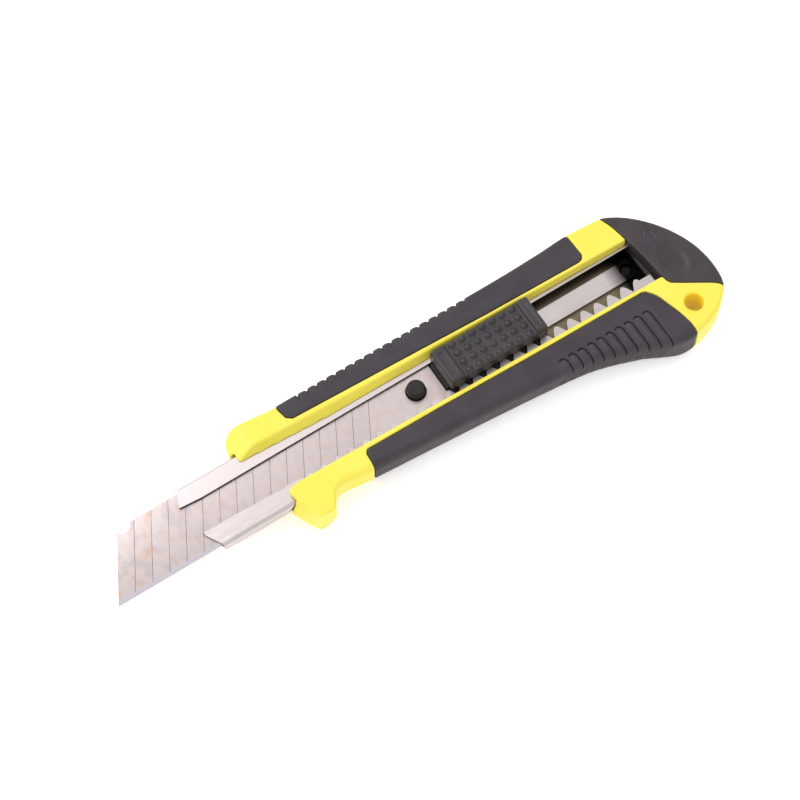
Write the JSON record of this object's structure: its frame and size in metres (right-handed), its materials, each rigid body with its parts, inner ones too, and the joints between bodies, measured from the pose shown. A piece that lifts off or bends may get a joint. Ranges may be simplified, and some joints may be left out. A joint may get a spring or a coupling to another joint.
{
  "type": "snap-off utility knife",
  "caption": "Snap-off blade utility knife with a moulded handle, soft grips, a toothed steel channel, a sliding thumb lock, a slide-off end cap and a hang hole.",
  "frame": {"origin": "under the middle of the knife's bounding box, on the surface it lies on, with the blade set out as at rest", "axes": "+Z out of the slider side, +X from the blade tip to the end cap, +Y from the cutting edge to the spine"},
  "size_m": [0.1782, 0.0428, 0.0133],
  "materials": {
    "handle_plastic": "fine matte moulded yellow plastic",
    "soft_grip": "matte dark grey soft rubber",
    "cap_plastic": "matte charcoal moulded plastic",
    "slider_plastic": "matte black moulded plastic",
    "channel_steel": "brushed along its length",
    "blade_steel": "ground across its width, lightly stained near the tip",
    "spring_steel": "satin"
  },
  "bodies": {
    "handle": {"front_shell": "handle_plastic", "back_shell": "handle_plastic", "spine_grip_front": "soft_grip", "spine_grip_back": "soft_grip", "belly_grip_front": "soft_grip", "belly_grip_back": "soft_grip", "blade_channel": "channel_steel", "channel_rivets": "spring_steel", "shell_screws": "spring_steel"},
    "cap": {"end_cap": "cap_plastic", "cap_catch": "spring_steel"},
    "slider": {"snap_off_blade": "blade_steel", "blade_carrier": "slider_plastic", "slider_base": "slider_plastic", "thumb_pad": "slider_plastic", "pad_rivets": "spring_steel", "lock_spring": "spring_steel"},
    "pawl": {"lock_pawl": "slider_plastic"}
  },
  "joints": [
    {"name": "slider_slide", "type": "slide", "parent": "handle", "child": "slider", "axis": [1, 0, 0], "range_m": [-0.04609, 0.02933]},
    {"name": "pawl_click", "type": "slide", "parent": "slider", "child": "pawl", "axis": [0, 1, 0], "range_m": [0, 0.0022], "stiffness_N_per_m": 400, "deforming": ["lock_spring"]},
    {"name": "cap_slide", "type": "slide", "parent": "handle", "child": "cap", "axis": [0, 1, 0], "range_m": [0, 0.02]}
  ]
}
